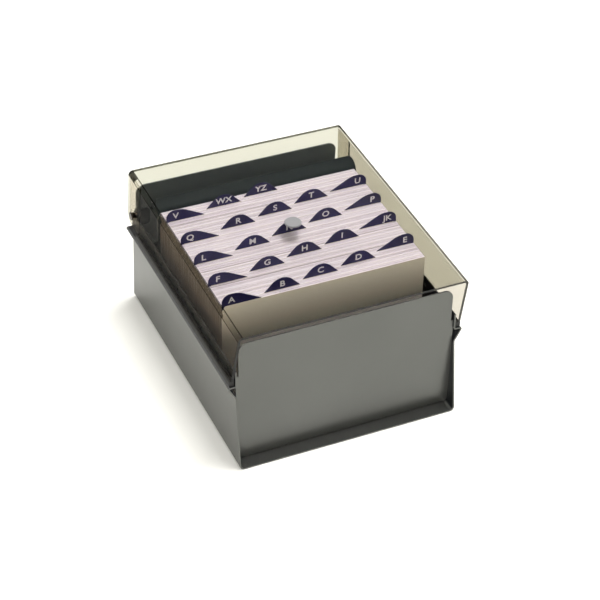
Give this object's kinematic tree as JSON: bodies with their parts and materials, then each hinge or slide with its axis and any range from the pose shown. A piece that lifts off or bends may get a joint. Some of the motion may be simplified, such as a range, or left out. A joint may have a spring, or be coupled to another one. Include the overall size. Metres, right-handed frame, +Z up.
{
  "type": "covered index card tray",
  "caption": "Sheet-steel tray for 6 x 4 inch index cards on edge, with lettered guides, a sliding follower and a hinged smoke-clear cover.",
  "frame": {"origin": "under the middle of the footprint, on the surface that the tray stands on", "axes": "+Z up, +X to the right as seen by the user, -Y towards the user: the front panel faces -Y and the cover's hinge is at +Y"},
  "size_m": [0.1754, 0.206, 0.1154],
  "materials": {
    "tray_enamel": "baked grey enamel, fine orange peel, semi-gloss",
    "panel_enamel": "baked grey enamel, fine orange peel, semi-gloss",
    "black_enamel": "baked black enamel, satin",
    "smoke_clear": "transparent smoke tint, polished",
    "grey_disc": "satin, slightly domed",
    "black_rubber": "matte extruded strip",
    "pin_steel": "blackened, satin",
    "guide_board": "stiff guide stock with a dark blue tab",
    "card_stock": "white index card, cut edges"
  },
  "bodies": {
    "tray": {"tray_shell": "tray_enamel", "front_panel": "panel_enamel", "rear_panel": "black_enamel", "left_cushion_strip": "black_rubber", "right_cushion_strip": "black_rubber", "left_hinge_bracket": "black_enamel", "right_hinge_bracket": "black_enamel", "left_hinge_pin": "pin_steel", "right_hinge_pin": "pin_steel"},
    "lid": {"cover": "smoke_clear", "left_cover_stiffener": "smoke_clear", "right_cover_stiffener": "smoke_clear", "cover_disc": "grey_disc"},
    "backplate": {"follower": "black_enamel"},
    "group_a": {"guide_a": "guide_board", "cards_a": "card_stock"},
    "group_b": {"guide_b": "guide_board", "cards_b": "card_stock"},
    "group_c": {"guide_c": "guide_board", "cards_c": "card_stock"},
    "group_d": {"guide_d": "guide_board", "cards_d": "card_stock"},
    "group_e": {"guide_e": "guide_board", "cards_e": "card_stock"},
    "group_f": {"guide_f": "guide_board", "cards_f": "card_stock"},
    "group_g": {"guide_g": "guide_board", "cards_g": "card_stock"},
    "group_h": {"guide_h": "guide_board", "cards_h": "card_stock"},
    "group_i": {"guide_i": "guide_board", "cards_i": "card_stock"},
    "group_jk": {"guide_jk": "guide_board", "cards_jk": "card_stock"},
    "group_l": {"guide_l": "guide_board", "cards_l": "card_stock"},
    "group_m": {"guide_m": "guide_board", "cards_m": "card_stock"},
    "group_n": {"guide_n": "guide_board", "cards_n": "card_stock"},
    "group_o": {"guide_o": "guide_board", "cards_o": "card_stock"},
    "group_p": {"guide_p": "guide_board", "cards_p": "card_stock"},
    "group_q": {"guide_q": "guide_board", "cards_q": "card_stock"},
    "group_r": {"guide_r": "guide_board", "cards_r": "card_stock"},
    "group_s": {"guide_s": "guide_board", "cards_s": "card_stock"},
    "group_t": {"guide_t": "guide_board", "cards_t": "card_stock"},
    "group_u": {"guide_u": "guide_board", "cards_u": "card_stock"},
    "group_v": {"guide_v": "guide_board", "cards_v": "card_stock"},
    "group_wx": {"guide_wx": "guide_board", "cards_wx": "card_stock"},
    "group_yz": {"guide_yz": "guide_board", "cards_yz": "card_stock"}
  },
  "joints": [
    {"name": "cover_hinge", "type": "hinge", "parent": "tray", "child": "lid", "pos_m": [0, 0.09362, 0.0809], "axis": [-1, 0, 0], "range_deg": [0, 115]},
    {"name": "follower_slide", "type": "slide", "parent": "tray", "child": "backplate", "axis": [0, 1, 0], "range_m": [0, 0.0149]},
    {"name": "tip_a", "type": "hinge", "parent": "tray", "child": "group_a", "pos_m": [0, -0.05732, 0.001], "axis": [1, 0, 0], "range_deg": [0, 20]},
    {"name": "tip_b", "type": "hinge", "parent": "tray", "child": "group_b", "pos_m": [0, -0.05372, 0.001], "axis": [1, 0, 0], "range_deg": [0, 19.14]},
    {"name": "tip_c", "type": "hinge", "parent": "tray", "child": "group_c", "pos_m": [0, -0.04951, 0.001], "axis": [1, 0, 0], "range_deg": [0, 18.27]},
    {"name": "tip_d", "type": "hinge", "parent": "tray", "child": "group_d", "pos_m": [0, -0.04571, 0.001], "axis": [1, 0, 0], "range_deg": [0, 17.4]},
    {"name": "tip_e", "type": "hinge", "parent": "tray", "child": "group_e", "pos_m": [0, -0.0399, 0.001], "axis": [1, 0, 0], "range_deg": [0, 16.53]},
    {"name": "tip_f", "type": "hinge", "parent": "tray", "child": "group_f", "pos_m": [0, -0.03329, 0.001], "axis": [1, 0, 0], "range_deg": [0, 15.66]},
    {"name": "tip_g", "type": "hinge", "parent": "tray", "child": "group_g", "pos_m": [0, -0.02848, 0.001], "axis": [1, 0, 0], "range_deg": [0, 14.79]},
    {"name": "tip_h", "type": "hinge", "parent": "tray", "child": "group_h", "pos_m": [0, -0.02308, 0.001], "axis": [1, 0, 0], "range_deg": [0, 13.92]},
    {"name": "tip_i", "type": "hinge", "parent": "tray", "child": "group_i", "pos_m": [0, -0.01927, 0.001], "axis": [1, 0, 0], "range_deg": [0, 13.05]},
    {"name": "tip_jk", "type": "hinge", "parent": "tray", "child": "group_jk", "pos_m": [0, -0.01226, 0.001], "axis": [1, 0, 0], "range_deg": [0, 12.18]},
    {"name": "tip_l", "type": "hinge", "parent": "tray", "child": "group_l", "pos_m": [0, -0.00786, 0.001], "axis": [1, 0, 0], "range_deg": [0, 11.31]},
    {"name": "tip_m", "type": "hinge", "parent": "tray", "child": "group_m", "pos_m": [0, -0.00285, 0.001], "axis": [1, 0, 0], "range_deg": [0, 10.45]},
    {"name": "tip_n", "type": "hinge", "parent": "tray", "child": "group_n", "pos_m": [0, 0.00275, 0.001], "axis": [1, 0, 0], "range_deg": [0, 9.57]},
    {"name": "tip_o", "type": "hinge", "parent": "tray", "child": "group_o", "pos_m": [0, 0.00796, 0.001], "axis": [1, 0, 0], "range_deg": [0, 8.71]},
    {"name": "tip_p", "type": "hinge", "parent": "tray", "child": "group_p", "pos_m": [0, 0.01197, 0.001], "axis": [1, 0, 0], "range_deg": [0, 7.84]},
    {"name": "tip_q", "type": "hinge", "parent": "tray", "child": "group_q", "pos_m": [0, 0.01677, 0.001], "axis": [1, 0, 0], "range_deg": [0, 6.97]},
    {"name": "tip_r", "type": "hinge", "parent": "tray", "child": "group_r", "pos_m": [0, 0.02278, 0.001], "axis": [1, 0, 0], "range_deg": [0, 6.1]},
    {"name": "tip_s", "type": "hinge", "parent": "tray", "child": "group_s", "pos_m": [0, 0.02758, 0.001], "axis": [1, 0, 0], "range_deg": [0, 5.23]},
    {"name": "tip_t", "type": "hinge", "parent": "tray", "child": "group_t", "pos_m": [0, 0.03239, 0.001], "axis": [1, 0, 0], "range_deg": [0, 4.36]},
    {"name": "tip_u", "type": "hinge", "parent": "tray", "child": "group_u", "pos_m": [0, 0.0364, 0.001], "axis": [1, 0, 0], "range_deg": [0, 3.49]},
    {"name": "tip_v", "type": "hinge", "parent": "tray", "child": "group_v", "pos_m": [0, 0.044, 0.001], "axis": [1, 0, 0], "range_deg": [0, 2.62]},
    {"name": "tip_wx", "type": "hinge", "parent": "tray", "child": "group_wx", "pos_m": [0, 0.04901, 0.001], "axis": [1, 0, 0], "range_deg": [0, 1.75]},
    {"name": "tip_yz", "type": "hinge", "parent": "tray", "child": "group_yz", "pos_m": [0, 0.05282, 0.001], "axis": [1, 0, 0], "range_deg": [0, 0.88]}
  ],
  "couplings": [
    {"joint": "tip_b", "follows": "tip_a", "ratio": 0.95652},
    {"joint": "tip_c", "follows": "tip_a", "ratio": 0.91304},
    {"joint": "tip_d", "follows": "tip_a", "ratio": 0.86957},
    {"joint": "tip_e", "follows": "tip_a", "ratio": 0.82609},
    {"joint": "tip_f", "follows": "tip_a", "ratio": 0.78261},
    {"joint": "tip_g", "follows": "tip_a", "ratio": 0.73913},
    {"joint": "tip_h", "follows": "tip_a", "ratio": 0.69565},
    {"joint": "tip_i", "follows": "tip_a", "ratio": 0.65217},
    {"joint": "tip_jk", "follows": "tip_a", "ratio": 0.6087},
    {"joint": "tip_l", "follows": "tip_a", "ratio": 0.56522},
    {"joint": "tip_m", "follows": "tip_a", "ratio": 0.52174},
    {"joint": "tip_n", "follows": "tip_a", "ratio": 0.47826},
    {"joint": "tip_o", "follows": "tip_a", "ratio": 0.43478},
    {"joint": "tip_p", "follows": "tip_a", "ratio": 0.3913},
    {"joint": "tip_q", "follows": "tip_a", "ratio": 0.34783},
    {"joint": "tip_r", "follows": "tip_a", "ratio": 0.30435},
    {"joint": "tip_s", "follows": "tip_a", "ratio": 0.26087},
    {"joint": "tip_t", "follows": "tip_a", "ratio": 0.21739},
    {"joint": "tip_u", "follows": "tip_a", "ratio": 0.17391},
    {"joint": "tip_v", "follows": "tip_a", "ratio": 0.13043},
    {"joint": "tip_wx", "follows": "tip_a", "ratio": 0.08696},
    {"joint": "tip_yz", "follows": "tip_a", "ratio": 0.04348}
  ]
}
